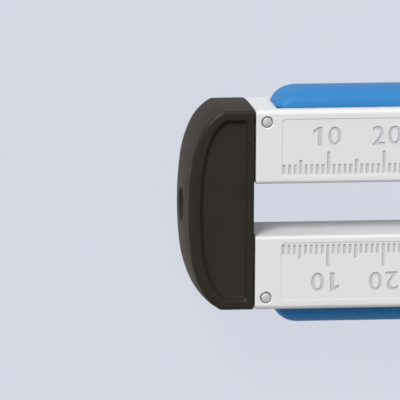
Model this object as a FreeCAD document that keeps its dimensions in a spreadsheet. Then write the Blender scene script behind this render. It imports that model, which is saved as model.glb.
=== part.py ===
import FreeCAD, Part
import math
import os

# Fibre stripper: two arms on a rear hinge pin close two notched blades inside a guide head.
# Millimetres. The origin is on the fibre's axis, where the fibre leaves the guide bush.
# +X runs towards the hinge, +Y towards the upper arm, +Z up; the tool lies on its lower face.

# Sizes that can be changed one by one
size = {
    # head and arms
    "thickness": 16.0,
    "body_half": 18.0,
    "entry_depth": 5.5,
    "head_length": 11.8,
    "head_gap": 0.3,
    "gap_half": 4.7,
    "hinge_reach": 106.0,
    "rear_radius": 11.9,
    "taper_reach": 52.0,
    "gap_end_reach": 26.0,
    "part_gap": 0.6,
    "edge_round": 0.7,
    "outer_round": 0.9,
    "front_round": 0.3,
    # head outline, from the nose outwards
    "nose_radius": 65.0,
    "cheek_radius": 20.0,
    "cheek_angle": 25.0,
    "shoulder_radius": 9.0,
    "shoulder_angle": 60.9,
    "corner_round": 1.0,
    "head_edge_round": 0.5,
    "rear_edge_round": 0.2,
    "field_inset": 1.6,
    "field_strip": 1.05,
    "field_depth": 1.0,
    # head inside
    "front_wall": 3.3,
    "cavity_room": 0.5,
    "cavity_side": 0.75,
    "cavity_round": 2.0,
    "boss_wall": 1.5,
    "boss_length": 1.2,
    "mouth_radius": 3.05,
    "throat_radius": 1.6,
    "bush_length": 3.2,
    "bush_radius": 2.5,
    "guide_bore": 1.3,
    "bush_lead": 0.4,
    # arms' tongues and the head's lugs
    "tongue_rim": 0.3,
    "tongue_inset": 0.9,
    "tongue_play": 0.05,
    "tongue_root": 1.4,
    "lug_height": 4.8,
    "lug_back": 3.45,
    "lug_lip": 0.3,
    "lug_reach": 4.1,
    "lug_room": 0.3,
    "slot_outer_wall": 1.0,
    "dowel_radius": 1.0,
    "dowel_inset": 2.0,
    "dowel_edge": 2.15,
    "dowel_short": 0.1,
    "dowel_lead": 0.2,
    "fork_play": 0.08,
    # blades
    "blade_gap": 0.4,
    "blade_thick": 0.6,
    "blade_rim": 0.5,
    "blade_open": 1.25,
    "blade_meet": 0.04,
    "blade_margin": 1.0,
    "blade_bevel": 0.4,
    "notch_radius": 0.5,
    "clamp_thick": 1.2,
    "clamp_lip": 1.1,
    "clamp_margin": 0.4,
    "clamp_rim": 0.3,
    "screw_radius": 0.8,
    "screw_head_radius": 1.6,
    "screw_rise": 2.3,
    "screw_short": 0.4,
    "socket_radius": 0.8,
    "socket_depth": 0.6,
    "hole_play": 0.05,
    "insert_radius": 1.4,
    "insert_length": 4.0,
    "insert_room": 0.6,
    "insert_play": 0.01,
    # scale panel
    "scale_start": 3.1,
    "scale_length": 50.0,
    "panel_start": 4.64,
    "panel_tail": 2.0,
    "panel_inner": 5.95,
    "panel_outer": 16.4,
    "panel_depth": 0.12,
    "panel_round": 0.8,
    # grips
    "grip_start": 4.0,
    "grip_end_reach": 22.7,
    "grip_rise": 3.2,
    "grip_sink": 0.8,
    "grip_width": 11.4,
    "grip_nose_radius": 4.5,
    "grip_edge_round": 1.4,
    # return spring
    "spring_reach": 36.0,
    "spring_mean_radius": 2.65,
    "spring_wire": 0.7,
    "spring_turns": 7.0,
    "cup_radius": 3.7,
    "cup_wall": 0.4,
    "cup_depth": 4.6,
    "spring_play": 0.05,
    # hinge
    "pin_radius": 2.0,
    "pin_play": 0.02,
    "pin_head_radius": 3.6,
    "pin_head_thick": 0.9,
    "pin_chamfer": 0.25,
    "pin_sink": 0.2,
    "bush_play": 0.05,
    "bush_wall": 1.2,
    "knuckle_height": 4.6,
    "knuckle_root": 3.6,
    "washer_thick": 0.4,
    "washer_radius": 6.0,
    "washer_play": 0.05,
    "knuckle_room": 0.3,
    "cover_start": 9.8,
    "cover_split": 0.4,
    "pocket_start": 9.0,
    "clip_radius": 3.2,
    "clip_thick": 0.6,
    "clip_groove": 0.35,
    "clip_sink": 1.6,
    "clip_mouth": 2.2,
    "sink_play": 0.4,
}

# Places that follow from the sizes
head_rear = size["head_length"] - size["entry_depth"]
arm_front = head_rear + size["head_gap"]
hinge_x = arm_front + size["hinge_reach"]
half_thickness = size["thickness"] / 2
taper_x = arm_front + size["taper_reach"]
taper_radius = (
    ((hinge_x - taper_x) ** 2 + size["body_half"] ** 2 - size["rear_radius"] ** 2)
    / (2 * (size["body_half"] - size["rear_radius"]))
)
taper_centre_y = size["body_half"] - taper_radius
taper_end_angle = math.atan2(hinge_x - taper_x, -taper_centre_y)
blade_front = size["blade_gap"]
tongue_front = blade_front + size["blade_thick"]
clamp_front = blade_front - size["clamp_thick"]
cavity_front = size["front_wall"] - size["entry_depth"]
bush_front = -size["bush_length"]
dowel_x = arm_front + size["dowel_inset"]
dowel_side = size["body_half"] - size["dowel_edge"]
lug_inner = dowel_side - size["lug_back"]
lug_outer = dowel_side - size["lug_lip"]
cavity_half = lug_inner - size["cavity_side"]
tongue_outer = cavity_half - size["tongue_play"]
tongue_inner = size["gap_half"] + size["tongue_inset"]
screw_side = (tongue_inner + tongue_outer) / 2
screw_length = size["clamp_thick"] + size["blade_thick"] + size["insert_length"] - size["screw_short"]
blade_outer = tongue_outer - size["blade_margin"]
blade_height = 2 * (size["screw_rise"] + size["screw_radius"] + size["blade_rim"])
clamp_inner = tongue_inner - size["clamp_lip"]
clamp_outer = tongue_outer - size["clamp_margin"]
clamp_height = 2 * (size["screw_rise"] + size["screw_head_radius"] + size["clamp_rim"])
tongue_height = clamp_height + 2 * size["tongue_rim"]
cavity_height = tongue_height + 2 * size["cavity_room"]
lug_end = arm_front + size["lug_reach"]
slot_end = lug_end + size["lug_room"]
slot_inner = lug_inner - size["lug_room"]
slot_outer = size["body_half"] - size["slot_outer_wall"]
slot_height = size["lug_height"] + 2 * size["lug_room"]
blade_lever = hinge_x - (blade_front + tongue_front) / 2
half_angle = (size["blade_open"] - size["blade_meet"]) / blade_lever
zero_x = arm_front + size["scale_start"]
panel_start_x = arm_front + size["panel_start"]
panel_end_x = zero_x + size["scale_length"] + size["panel_tail"]
gap_end_x = hinge_x - size["gap_end_reach"]
spring_x = hinge_x - size["spring_reach"]
spring_seat = size["gap_half"] + size["cup_depth"] - size["cup_wall"]
knuckle_gap = size["washer_thick"] + 2 * size["washer_play"]
knuckle_half = size["knuckle_height"] / 2
fork_half = knuckle_half + knuckle_gap
cover_x = hinge_x - size["cover_start"]
upper_end_x = cover_x - size["cover_split"]
pocket_x = hinge_x - size["pocket_start"]
pocket_radius = size["rear_radius"] + size["knuckle_room"]
grip_start_x = arm_front + size["grip_start"]
grip_end_x = hinge_x - size["grip_end_reach"]

# Document, and the sheet that holds every size and place under its name
doc = FreeCAD.newDocument("fibre_stripper")
sheet = doc.addObject("Spreadsheet::Sheet", "sizes")
place = {
    "head_rear": head_rear,
    "arm_front": arm_front,
    "hinge_x": hinge_x,
    "half_thickness": half_thickness,
    "blade_front": blade_front,
    "tongue_front": tongue_front,
    "clamp_front": clamp_front,
    "cavity_front": cavity_front,
    "tongue_inner": tongue_inner,
    "tongue_outer": tongue_outer,
    "tongue_height": tongue_height,
    "cavity_height": cavity_height,
    "dowel_x": dowel_x,
    "dowel_side": dowel_side,
    "screw_side": screw_side,
    "screw_length": screw_length,
    "blade_outer": blade_outer,
    "blade_height": blade_height,
    "clamp_inner": clamp_inner,
    "clamp_outer": clamp_outer,
    "clamp_height": clamp_height,
    "slot_end": slot_end,
    "slot_inner": slot_inner,
    "slot_outer": slot_outer,
    "slot_height": slot_height,
    "spring_x": spring_x,
    "spring_seat": spring_seat,
    "knuckle_half": knuckle_half,
    "fork_half": fork_half,
}
for row, (alias, value) in enumerate({**size, **place}.items(), 1):
    sheet.set(f"A{row}", alias)
    sheet.set(f"B{row}", str(value))
    sheet.setAlias(f"B{row}", alias)
doc.recompute()

quarter_turn_y = FreeCAD.Rotation(FreeCAD.Vector(0, 1, 0), 90)
quarter_turn_x = FreeCAD.Rotation(FreeCAD.Vector(1, 0, 0), -90)
no_turn = FreeCAD.Rotation()
pieces = []


def bind(item, cells):
    for field, expression in cells.items():
        item.setExpression(field, expression)


def point(x, y):
    return FreeCAD.Vector(x, y, 0)


# A closed outline: each step is the next corner, or a point on the way and the end of an arc
def outline(start, steps, side=1):
    edges = []
    here = point(start[0], side * start[1])
    for step in steps:
        stops = [point(x, side * y) for x, y in step]
        if len(stops) == 1:
            edges.append(Part.LineSegment(here, stops[0]))
        else:
            edges.append(Part.Arc(here, stops[0], stops[1]))
        here = stops[-1]
    return edges


def add_sketch(body, name, edges, plane="XY_Plane", height="0"):
    sketch = body.newObject("Sketcher::SketchObject", name)
    for feature in body.Origin.OriginFeatures:
        if feature.Role == plane:
            sketch.AttachmentSupport = [(feature, "")]
    sketch.MapMode = "FlatFace"
    sketch.setExpression("AttachmentOffset.Base.z", height)
    sketch.addGeometry(edges, False)
    return sketch


def pad(body, name, edges, low, length):
    feature = body.newObject("PartDesign::Pad", name)
    feature.Profile = add_sketch(body, name + "_sketch", edges, height=low)
    feature.setExpression("Length", length)
    doc.recompute()
    return feature


# A pocket is cut downwards from its sketch
def pocket(body, name, edges, top, length):
    before = body.Tip.Shape.Volume
    feature = body.newObject("PartDesign::Pocket", name)
    feature.Profile = add_sketch(body, name + "_sketch", edges, height=top)
    feature.setExpression("Length", length)
    doc.recompute()
    check_cut(feature, before)
    return feature


def check_cut(feature, before):
    if not feature.Shape.Volume < before - 1e-6:
        raise ValueError(feature.Name + " cuts nothing")


# A box or cylinder that is added to a body or taken from it
def solid_feature(body, kind, name, cells, turn=no_turn):
    before = body.Tip.Shape.Volume if body.Tip else 0
    feature = body.newObject("PartDesign::" + kind, name)
    feature.Placement = FreeCAD.Placement(FreeCAD.Vector(), turn)
    bind(feature, cells)
    doc.recompute()
    if kind.startswith("Subtractive"):
        check_cut(feature, before)
    return feature


def edge_names(shape, wanted):
    return [f"Edge{number}" for number, edge in enumerate(shape.Edges, 1) if wanted(edge)]


def round_edges(body, name, wanted, radius, kind="Fillet"):
    base = body.Tip
    feature = body.newObject("PartDesign::" + kind, name)
    feature.Base = (base, edge_names(base.Shape, wanted))
    feature.setExpression("Size" if kind == "Chamfer" else "Radius", radius)
    doc.recompute()
    return feature


def middle_of(edge):
    return edge.valueAt((edge.FirstParameter + edge.LastParameter) / 2)


def on_faces(edge):
    level = all(abs(abs(vertex.Z) - half_thickness) < 1e-6 for vertex in edge.Vertexes)
    return level and abs(abs(middle_of(edge).z) - half_thickness) < 1e-6


def upright(edge):
    first, last = edge.Vertexes[0], edge.Vertexes[-1]
    return abs(first.X - last.X) < 1e-6 and abs(first.Y - last.Y) < 1e-6 and abs(first.Z - last.Z) > 1


def new_body(label):
    body = doc.addObject("PartDesign::Body", label)
    body.Label = label
    pieces.append(body)
    return body


def primitive(kind, name, cells, turn=no_turn):
    item = doc.addObject("Part::" + kind, name)
    item.Placement = FreeCAD.Placement(FreeCAD.Vector(), turn)
    bind(item, cells)
    return item


def cut(name, base, tool):
    item = doc.addObject("Part::Cut", name)
    item.Base = base
    item.Tool = tool
    return item


def fuse(name, first, second):
    item = doc.addObject("Part::Fuse", name)
    item.Base = first
    item.Tool = second
    return item


def finish_piece(item, label):
    item.Label = label
    pieces.append(item)
    doc.recompute()
    return item


def group(label, members):
    item = doc.addObject("Part::Compound", label)
    item.Links = members
    return finish_piece(item, label)


def signed(side, expression):
    return expression if side > 0 else f"-({expression})"


def prefix(side):
    return "upper_" if side > 0 else "lower_"


# Points of the outlines
def taper_point(angle, offset=0.0):
    radius = taper_radius + offset
    return (taper_x + radius * math.sin(angle), taper_centre_y + radius * math.cos(angle))


def taper_angle(x, offset=0.0):
    return math.asin((x - taper_x) / (taper_radius + offset))


def rear_point(angle, radius=size["rear_radius"]):
    return (hinge_x + radius * math.sin(angle), radius * math.cos(angle))


# The head's D: three tangent arcs from the nose to the flat side, all moved inwards by the inset.
# The nose arc takes the width that the cheek and the shoulder leave.
def head_outline(rear, inset):
    radii = [size["nose_radius"], size["cheek_radius"], size["shoulder_radius"]]
    cheek_angle = math.radians(size["cheek_angle"])
    shoulder_angle = math.radians(size["shoulder_angle"])
    side_width = radii[2] * math.sin(shoulder_angle) + (radii[1] - radii[2]) * math.sin(cheek_angle)
    nose_angle = math.asin((size["body_half"] - side_width) / (radii[0] - radii[1]))
    angles = [0.0, nose_angle, cheek_angle]
    half = size["body_half"] - inset
    centre_x = -size["entry_depth"] + radii[0]
    centre_y = 0.0
    stations = []
    for number, radius in enumerate(radii):
        if number > 0:
            shift = radii[number - 1] - radius
            centre_x -= shift * math.cos(angles[number])
            centre_y += shift * math.sin(angles[number])
        last = number == len(radii) - 1
        end = math.asin((half - centre_y) / (radius - inset)) if last else angles[number + 1]
        for angle in ((angles[number] + end) / 2, end):
            stations.append((
                centre_x - (radius - inset) * math.cos(angle),
                centre_y + (radius - inset) * math.sin(angle),
            ))
    nose = (inset - size["entry_depth"], 0.0)
    upper = [(stations[0], stations[1]), (stations[2], stations[3]), (stations[4], stations[5])]
    back_to_nose = [
        ((stations[4][0], -stations[4][1]), (stations[3][0], -stations[3][1])),
        ((stations[2][0], -stations[2][1]), (stations[1][0], -stations[1][1])),
        ((stations[0][0], -stations[0][1]), nose),
    ]
    flat_end = stations[5]
    steps = upper + [((rear, half),), ((rear, -half),), ((flat_end[0], -half),)] + back_to_nose
    return outline(nose, steps)


# Guide head
def make_head():
    body = new_body("guide_head")
    pad(body, "head_block", head_outline(head_rear, 0.0), "-sizes.half_thickness", "sizes.thickness")

    def side_corner(edge):
        near_side = abs(edge.Vertexes[0].Y) > size["body_half"] - 1e-6
        return upright(edge) and near_side and edge.Vertexes[0].X < head_rear - 1

    def rear_edge(edge):
        at_rear = all(vertex.X > head_rear - 1e-6 for vertex in edge.Vertexes)
        return at_rear and middle_of(edge).x > head_rear - 1e-6

    def front_edge(edge):
        return on_faces(edge) and not rear_edge(edge)

    round_edges(body, "side_corners", side_corner, "sizes.corner_round")
    round_edges(body, "front_edges", front_edge, "sizes.head_edge_round")
    round_edges(body, "rear_edges", rear_edge, "sizes.rear_edge_round")
    field = head_outline(head_rear - size["field_strip"], size["field_inset"])
    pocket(body, "top_field", field, "sizes.half_thickness", "sizes.field_depth")
    pocket(body, "bottom_field", field, "sizes.field_depth - sizes.half_thickness", "sizes.field_depth")

    half = cavity_half
    bend = size["cavity_round"]
    open_x = arm_front
    diagonal = bend * (1 - math.sqrt(0.5))
    cavity = outline((open_x, half), [
        ((cavity_front + bend, half),),
        ((cavity_front + diagonal, half - diagonal), (cavity_front, half - bend)),
        ((cavity_front, bend - half),),
        ((cavity_front + diagonal, diagonal - half), (cavity_front + bend, -half)),
        ((open_x, -half),),
        ((open_x, half),),
    ])
    pocket(body, "blade_room", cavity, "sizes.cavity_height / 2", "sizes.cavity_height")
    solid_feature(body, "AdditiveCylinder", "bush_boss", {
        "Radius": "sizes.bush_radius + sizes.boss_wall",
        "Height": "sizes.boss_length + sizes.field_depth",
        "Placement.Base.x": "sizes.cavity_front - sizes.field_depth",
    }, quarter_turn_y)
    solid_feature(body, "SubtractiveCylinder", "bush_seat", {
        "Radius": "sizes.bush_radius",
        "Height": "sizes.bush_length + sizes.head_gap",
        "Placement.Base.x": "-sizes.bush_length",
    }, quarter_turn_y)
    solid_feature(body, "SubtractiveCone", "funnel", {
        "Radius1": "sizes.mouth_radius",
        "Radius2": "sizes.throat_radius",
        "Height": "sizes.entry_depth - sizes.bush_length",
        "Placement.Base.x": "-sizes.entry_depth",
    }, quarter_turn_y)
    for side in (1, -1):
        make_lug(body, side)


# The lug's fork follows the dowel pin's arc about the hinge, so it is square to the pin's lever
def make_lug(body, side):
    pin_angle = math.atan2(dowel_side, hinge_x - dowel_x)
    lever = math.hypot(dowel_side, hinge_x - dowel_x)

    def along_arc(turn, across):
        angle = pin_angle - turn
        return (
            hinge_x - (lever + across) * math.cos(angle),
            (lever + across) * math.sin(angle),
        )

    reach = size["dowel_radius"] + size["fork_play"]
    bottom = half_angle + size["fork_play"] / lever
    beyond = -(lug_outer - dowel_side + 2 * size["dowel_radius"]) / lever
    rows = [lug_inner, lug_outer]
    block = outline((head_rear - size["field_strip"], rows[0]), [
        ((lug_end, rows[0]),),
        ((lug_end, rows[1]),),
        ((head_rear - size["field_strip"], rows[1]),),
        ((head_rear - size["field_strip"], rows[0]),),
    ], side)
    name = prefix(side)
    pad(body, name + "lug", block, "-sizes.lug_height / 2", "sizes.lug_height")
    fork = outline(along_arc(beyond, -reach), [
        (along_arc(bottom, -reach),),
        (along_arc(bottom + reach / lever, 0), along_arc(bottom, reach)),
        (along_arc(beyond, reach),),
        (along_arc(beyond, -reach),),
    ], side)
    pocket(body, name + "fork", fork, "sizes.lug_height / 2", "sizes.lug_height")


def make_guide_bush():
    body = new_body("guide_bush")
    profile = outline((bush_front, size["throat_radius"]), [
        ((bush_front, size["bush_radius"]),),
        ((0.0, size["bush_radius"]),),
        ((0.0, size["guide_bore"]),),
        ((bush_front + size["bush_lead"], size["guide_bore"]),),
        ((bush_front, size["throat_radius"]),),
    ])
    sketch = add_sketch(body, "bush_section", profile)
    turned = body.newObject("PartDesign::Revolution", "bush_turned")
    turned.Profile = sketch
    turned.ReferenceAxis = (sketch, ["H_Axis"])
    turned.Angle = 360
    doc.recompute()


# Arm outlines, drawn for the upper arm
def arm_front_steps():
    gap = size["gap_half"]
    turn = gap - size["part_gap"]
    middle = turn * math.sqrt(0.5)
    return [
        ((gap_end_x, gap),),
        ((gap_end_x + middle, size["part_gap"] + middle), (gap_end_x + turn, size["part_gap"])),
    ]


def arm_back_steps(from_x):
    middle = taper_angle(from_x) / 2
    return [
        (taper_point(middle), (taper_x, size["body_half"])),
        ((arm_front, size["body_half"]),),
        ((arm_front, size["gap_half"]),),
    ]


def upper_outline():
    corner = taper_point(taper_angle(upper_end_x))
    steps = arm_front_steps() + [((upper_end_x, size["part_gap"]),), (corner,)]
    return outline((arm_front, size["gap_half"]), steps + arm_back_steps(upper_end_x))


# The lower arm also covers the hinge on both faces
def lower_outline():
    corner = taper_point(taper_angle(cover_x))
    middle = taper_point((taper_angle(cover_x) + taper_end_angle) / 2)
    end = rear_point(taper_end_angle)
    steps = arm_front_steps() + [
        ((cover_x, size["part_gap"]),),
        ((cover_x, -corner[1]),),
        ((middle[0], -middle[1]), (end[0], -end[1])),
        (rear_point(math.pi / 2), end),
        (taper_point(taper_end_angle / 2), (taper_x, size["body_half"])),
        ((arm_front, size["body_half"]),),
        ((arm_front, size["gap_half"]),),
    ]
    return outline((arm_front, size["gap_half"]), steps, -1)


# The upper arm's knuckle, a disc about the pin with its root inside the arm
def knuckle_outline():
    root_x = upper_end_x - size["knuckle_root"]
    meet = math.asin(size["part_gap"] / size["rear_radius"])
    start_angle = -math.pi / 2 + meet
    steps = [
        (rear_point(start_angle),),
        (rear_point(math.pi), rear_point(taper_end_angle)),
        (taper_point((taper_end_angle + taper_angle(root_x)) / 2), taper_point(taper_angle(root_x))),
        ((root_x, size["part_gap"]),),
    ]
    return outline((root_x, size["part_gap"]), steps)


# What is taken from the lower arm's middle layer, to let the knuckle turn
def knuckle_room_outline():
    half_chord = math.sqrt(pocket_radius ** 2 - size["pocket_start"] ** 2)
    turn = math.atan2(half_chord, size["pocket_start"]) / 2
    on_the_way = (hinge_x - pocket_radius * math.cos(turn), -pocket_radius * math.sin(turn))
    beyond_x = hinge_x + 2 * size["rear_radius"]
    beyond_y = size["body_half"]
    return outline((pocket_x, -half_chord), [
        (on_the_way, (hinge_x - pocket_radius, 0.0)),
        ((hinge_x - pocket_radius, beyond_y),),
        ((beyond_x, beyond_y),),
        ((beyond_x, -beyond_y),),
        ((pocket_x, -beyond_y),),
        ((pocket_x, -half_chord),),
    ])


def panel_outline(side):
    bend = size["panel_round"]
    diagonal = bend * (1 - math.sqrt(0.5))
    left, right = panel_start_x, panel_end_x
    low, high = size["panel_inner"], size["panel_outer"]
    return outline((left + bend, low), [
        ((right - bend, low),),
        ((right - diagonal, low + diagonal), (right, low + bend)),
        ((right, high - bend),),
        ((right - diagonal, high - diagonal), (right - bend, high)),
        ((left + bend, high),),
        ((left + diagonal, high - diagonal), (left, high - bend)),
        ((left, low + bend),),
        ((left + diagonal, low + diagonal), (left + bend, low)),
    ], side)


# The grip's shape seen from above: a rounded nose, the arm's own line moved out, a rounded tail
def grip_outline(side, rise, base):
    nose = size["grip_nose_radius"]
    sweep = math.acos(1 - rise / nose)
    top_x = grip_start_x + nose * math.sin(sweep)
    side_y = size["body_half"]
    end_angle = taper_angle(grip_end_x, rise)
    tail_centre = taper_point(end_angle, rise - nose)

    def nose_point(angle):
        return (top_x - nose * math.sin(angle), side_y + rise - nose + nose * math.cos(angle))

    def tail_point(angle):
        return (tail_centre[0] + nose * math.sin(angle), tail_centre[1] + nose * math.cos(angle))

    tail_end = tail_point(end_angle + sweep)
    foot_angle = math.atan2(tail_end[0] - taper_x, tail_end[1] - taper_centre_y)
    return outline((grip_start_x, side_y - base), [
        ((grip_start_x, side_y),),
        (nose_point(sweep / 2), (top_x, side_y + rise)),
        ((taper_x, side_y + rise),),
        (taper_point(end_angle / 2, rise), taper_point(end_angle, rise)),
        (tail_point(end_angle + sweep / 2), tail_end),
        (taper_point(foot_angle, -base),),
        (taper_point(foot_angle / 2, -base), (taper_x, side_y - base)),
        ((grip_start_x, side_y - base),),
    ], side)


def make_grip(side):
    body = new_body(prefix(side) + "grip")
    shape = grip_outline(side, size["grip_rise"], size["grip_sink"])
    pad(body, prefix(side) + "grip_block", shape, "-sizes.grip_width / 2", "sizes.grip_width")

    def above_arm(edge):
        middle = middle_of(edge)
        surface = size["body_half"]
        if middle.x > taper_x:
            surface = taper_point(taper_angle(middle.x))[1]
        level = abs(abs(middle.z) - size["grip_width"] / 2) < 1e-6
        return level and abs(middle.y) > surface

    round_edges(body, prefix(side) + "grip_edges", above_arm, "sizes.grip_edge_round")


def make_arm(side):
    name = prefix(side)
    body = new_body(name + "arm")
    shape = upper_outline() if side > 0 else lower_outline()
    pad(body, name + "arm_block", shape, "-sizes.half_thickness", "sizes.thickness")

    def outer_edge(edge):
        return on_faces(edge) and all(abs(vertex.Y) > size["body_half"] / 2 for vertex in edge.Vertexes)

    def front_edge(edge):
        return all(place.x < arm_front + 1e-6 for place in (middle_of(edge), edge.Vertexes[0].Point))

    def inner_edge(edge):
        return on_faces(edge) and not outer_edge(edge) and not front_edge(edge)

    round_edges(body, name + "outer_edges", outer_edge, "sizes.outer_round")
    round_edges(body, name + "inner_edges", inner_edge, "sizes.edge_round")
    round_edges(body, name + "front_edges", front_edge, "sizes.front_round")
    solid_feature(body, "AdditiveBox", name + "tongue", {
        "Length": "sizes.arm_front + sizes.tongue_root - sizes.tongue_front",
        "Width": "sizes.tongue_outer - sizes.tongue_inner",
        "Height": "sizes.tongue_height",
        "Placement.Base.x": "sizes.tongue_front",
        "Placement.Base.y": "sizes.tongue_inner" if side > 0 else "-sizes.tongue_outer",
        "Placement.Base.z": "-sizes.tongue_height / 2",
    })
    for rise in (1, -1):
        solid_feature(body, "SubtractiveCylinder", name + "insert_hole_" + ("top" if rise > 0 else "bottom"), {
            "Radius": "sizes.insert_radius + sizes.insert_play",
            "Height": "sizes.insert_length + sizes.insert_room",
            "Placement.Base.x": "sizes.tongue_front",
            "Placement.Base.y": signed(side, "sizes.screw_side"),
            "Placement.Base.z": signed(rise, "sizes.screw_rise"),
        }, quarter_turn_y)

    solid_feature(body, "SubtractiveBox", name + "lug_slot", {
        "Length": "sizes.slot_end - sizes.head_rear",
        "Width": "sizes.slot_outer - sizes.slot_inner",
        "Height": "sizes.slot_height",
        "Placement.Base.x": "sizes.head_rear",
        "Placement.Base.y": "sizes.slot_inner" if side > 0 else "-sizes.slot_outer",
        "Placement.Base.z": "-sizes.slot_height / 2",
    })
    solid_feature(body, "SubtractiveCylinder", name + "dowel_hole", {
        "Radius": "sizes.dowel_radius + sizes.insert_play",
        "Height": "sizes.thickness",
        "Placement.Base.x": "sizes.dowel_x",
        "Placement.Base.y": signed(side, "sizes.dowel_side"),
        "Placement.Base.z": "-sizes.half_thickness",
    })

    def dowel_mouth(edge):
        return edge.isClosed() and on_faces(edge)

    round_edges(body, name + "dowel_lead", dowel_mouth, "sizes.dowel_lead", "Chamfer")
    solid_feature(body, "SubtractiveCylinder", name + "cup_hole", {
        "Radius": "sizes.cup_radius + sizes.insert_play",
        "Height": "sizes.cup_depth + sizes.gap_half",
        "Placement.Base.x": "sizes.spring_x",
        "Placement.Base.y": "0" if side > 0 else "-(sizes.cup_depth + sizes.gap_half)",
    }, quarter_turn_x)
    channel = grip_outline(side, size["grip_rise"], size["grip_sink"])
    pocket(body, name + "grip_channel", channel, "sizes.grip_width / 2", "sizes.grip_width")
    panel = panel_outline(side)
    pocket(body, name + "top_panel", panel, "sizes.half_thickness", "sizes.panel_depth")
    pocket(body, name + "bottom_panel", panel, "sizes.panel_depth - sizes.half_thickness", "sizes.panel_depth")
    if side > 0:
        pad(body, "knuckle", knuckle_outline(), "-sizes.knuckle_half", "sizes.knuckle_height")
        solid_feature(body, "SubtractiveCylinder", "knuckle_bore", {
            "Radius": "sizes.pin_radius + sizes.bush_play + sizes.bush_wall + sizes.insert_play",
            "Height": "sizes.knuckle_height",
            "Placement.Base.x": "sizes.hinge_x",
            "Placement.Base.z": "-sizes.knuckle_half",
        })
        return
    pocket(body, "knuckle_room", knuckle_room_outline(), "sizes.fork_half", "2 * sizes.fork_half")
    solid_feature(body, "SubtractiveCylinder", "pin_bore", {
        "Radius": "sizes.pin_radius + sizes.pin_play",
        "Height": "sizes.thickness",
        "Placement.Base.x": "sizes.hinge_x",
        "Placement.Base.z": "-sizes.half_thickness",
    })
    solid_feature(body, "SubtractiveCylinder", "pin_head_sink", {
        "Radius": "sizes.pin_head_radius + sizes.sink_play",
        "Height": "sizes.pin_head_thick + sizes.pin_sink",
        "Placement.Base.x": "sizes.hinge_x",
        "Placement.Base.z": "sizes.half_thickness - sizes.pin_head_thick - sizes.pin_sink",
    })
    solid_feature(body, "SubtractiveCylinder", "clip_sink", {
        "Radius": "sizes.clip_radius + sizes.sink_play",
        "Height": "sizes.clip_sink",
        "Placement.Base.x": "sizes.hinge_x",
        "Placement.Base.z": "-sizes.half_thickness",
    })


def make_dowel(side):
    pin = primitive("Cylinder", prefix(side) + "dowel", {
        "Radius": "sizes.dowel_radius",
        "Height": "sizes.thickness - 2 * sizes.dowel_short",
        "Placement.Base.x": "sizes.dowel_x",
        "Placement.Base.y": signed(side, "sizes.dowel_side"),
        "Placement.Base.z": "sizes.dowel_short - sizes.half_thickness",
    })
    finish_piece(pin, prefix(side) + "dowel_pin")


def make_blade(side):
    name = prefix(side)
    body = new_body(name + "blade")
    solid_feature(body, "AdditiveBox", name + "blade_strip", {
        "Length": "sizes.blade_thick",
        "Width": "sizes.blade_outer - sizes.blade_open",
        "Height": "sizes.blade_height",
        "Placement.Base.x": "sizes.blade_front",
        "Placement.Base.y": "sizes.blade_open" if side > 0 else "-sizes.blade_outer",
        "Placement.Base.z": "-sizes.blade_height / 2",
    })

    def cutting_edge(edge):
        at_edge = all(abs(abs(vertex.Y) - size["blade_open"]) < 1e-6 for vertex in edge.Vertexes)
        return at_edge and all(abs(vertex.X - blade_front) < 1e-6 for vertex in edge.Vertexes)

    round_edges(body, name + "blade_bevel", cutting_edge, "sizes.blade_bevel", "Chamfer")
    solid_feature(body, "SubtractiveCylinder", name + "notch", {
        "Radius": "sizes.notch_radius",
        "Height": "sizes.blade_thick",
        "Placement.Base.x": "sizes.blade_front",
        "Placement.Base.y": signed(side, "sizes.blade_open - sizes.blade_meet"),
    }, quarter_turn_y)
    screw_holes(body, side, name + "blade_hole_", "sizes.blade_front", "sizes.blade_thick")


def screw_holes(body, side, name, front, length):
    for rise in (1, -1):
        solid_feature(body, "SubtractiveCylinder", name + ("top" if rise > 0 else "bottom"), {
            "Radius": "sizes.screw_radius + sizes.hole_play",
            "Height": length,
            "Placement.Base.x": front,
            "Placement.Base.y": signed(side, "sizes.screw_side"),
            "Placement.Base.z": signed(rise, "sizes.screw_rise"),
        }, quarter_turn_y)


def make_clamp(side):
    name = prefix(side)
    body = new_body(name + "blade_clamp")
    solid_feature(body, "AdditiveBox", name + "clamp_plate", {
        "Length": "sizes.clamp_thick",
        "Width": "sizes.clamp_outer - sizes.clamp_inner",
        "Height": "sizes.clamp_height",
        "Placement.Base.x": "sizes.clamp_front",
        "Placement.Base.y": "sizes.clamp_inner" if side > 0 else "-sizes.clamp_outer",
        "Placement.Base.z": "-sizes.clamp_height / 2",
    })
    screw_holes(body, side, name + "clamp_hole_", "sizes.clamp_front", "sizes.clamp_thick")
    for rise in (1, -1):
        solid_feature(body, "SubtractiveCone", name + "countersink_" + ("top" if rise > 0 else "bottom"), {
            "Radius1": "sizes.screw_head_radius + sizes.hole_play",
            "Radius2": "sizes.screw_radius + sizes.hole_play",
            "Height": "sizes.screw_head_radius - sizes.screw_radius",
            "Placement.Base.x": "sizes.clamp_front",
            "Placement.Base.y": signed(side, "sizes.screw_side"),
            "Placement.Base.z": signed(rise, "sizes.screw_rise"),
        }, quarter_turn_y)


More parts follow.
